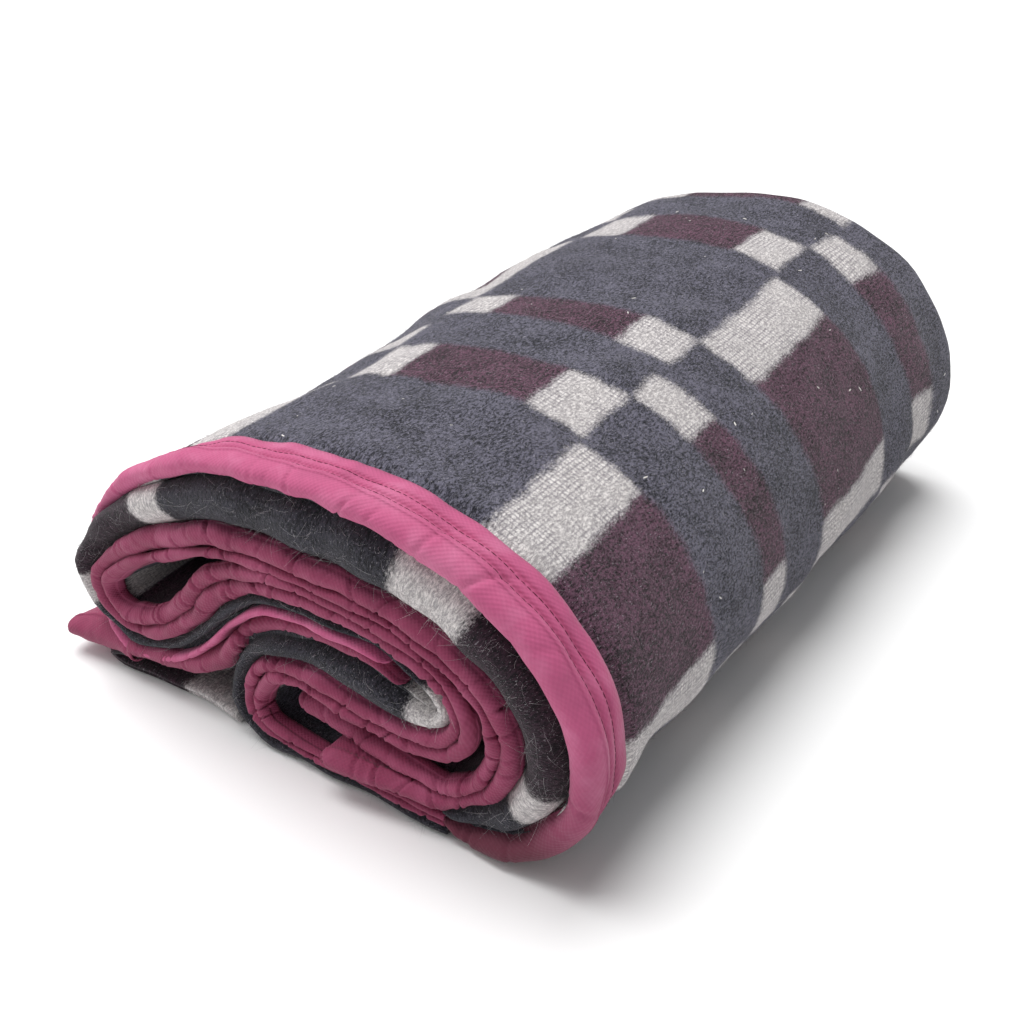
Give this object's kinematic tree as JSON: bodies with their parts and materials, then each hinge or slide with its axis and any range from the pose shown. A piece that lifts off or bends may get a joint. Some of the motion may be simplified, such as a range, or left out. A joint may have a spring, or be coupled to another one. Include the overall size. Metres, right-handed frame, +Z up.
{
  "type": "rolled blanket",
  "caption": "Thick brushed wool blanket in a dark block check with a woven ribbon binding, folded into a strip and rolled up into a flattened roll.",
  "frame": {"origin": "centre of the roll's footprint, at the surface it lies on", "axes": "+Z up, the roll's axis along Y, the end with the bound edges at -Y"},
  "size_m": [0.2636, 0.357, 0.1335],
  "materials": {
    "brushed_wool": "brushed woven wool in a grey, maroon and off-white block check",
    "ribbon": "woven twill ribbon in deep pink"
  },
  "bodies": {
    "root": {"blanket_cloth": "brushed_wool", "binding_outer_edge": "ribbon", "binding_second_edge": "ribbon", "binding_inner_edge": "ribbon", "binding_outer_return": "ribbon", "binding_loose_end": "ribbon", "bound_corner": "ribbon"}
  },
  "joints": []
}
